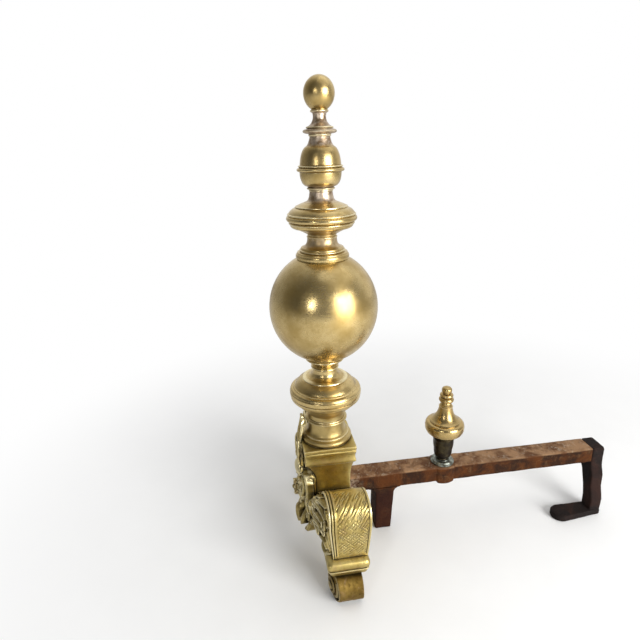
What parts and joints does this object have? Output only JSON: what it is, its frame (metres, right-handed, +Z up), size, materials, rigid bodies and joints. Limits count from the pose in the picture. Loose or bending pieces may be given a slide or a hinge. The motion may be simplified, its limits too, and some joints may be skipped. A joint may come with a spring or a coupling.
{
  "type": "andiron",
  "caption": "Brass fireside andiron: turned column with a large ball, scroll-footed base with cast front ornament, forged iron log bar with a brass log stop.",
  "frame": {"origin": "on the hearth, under the middle of the object's bounding box", "axes": "+Z up; the ornamented front and the ball face -Y, the log bar runs towards +Y; +X is to the right of someone who looks along +Y"},
  "size_m": [0.2652, 0.4762, 0.5876],
  "materials": {
    "column_brass": "polished, gently worn",
    "base_brass": "cast and chased, tarnished in the hollows",
    "foot_brass": "darkened and pitted",
    "forged_iron": "forged, rust brown",
    "black_iron": "forged, soot black",
    "flange_metal": "grey-green tarnish"
  },
  "bodies": {
    "root": {"top_finial": "column_brass", "pear_knop": "column_brass", "disc_knop": "column_brass", "upper_ball_seat": "column_brass", "great_ball": "column_brass", "lower_ball_seat": "column_brass", "vase_knop": "column_brass", "column_foot_ring": "column_brass", "tie_rod": "black_iron", "tie_rod_washer": "black_iron", "tie_rod_nut": "black_iron", "plinth": "base_brass", "base_block": "base_brass", "scroll_leg_right": "base_brass", "scroll_leg_left": "base_brass", "ankle_moulding_right": "base_brass", "ankle_moulding_left": "base_brass", "foot_scroll_right": "foot_brass", "foot_scroll_left": "foot_brass", "front_cartouche": "base_brass", "crest_shell": "base_brass", "billet_bar": "forged_iron", "stub_leg": "forged_iron", "rear_leg": "black_iron", "rear_foot": "black_iron", "log_stop_finial": "column_brass", "log_stop_stem": "black_iron", "log_stop_flange": "flange_metal", "log_stop_pin": "black_iron"}
  },
  "joints": []
}
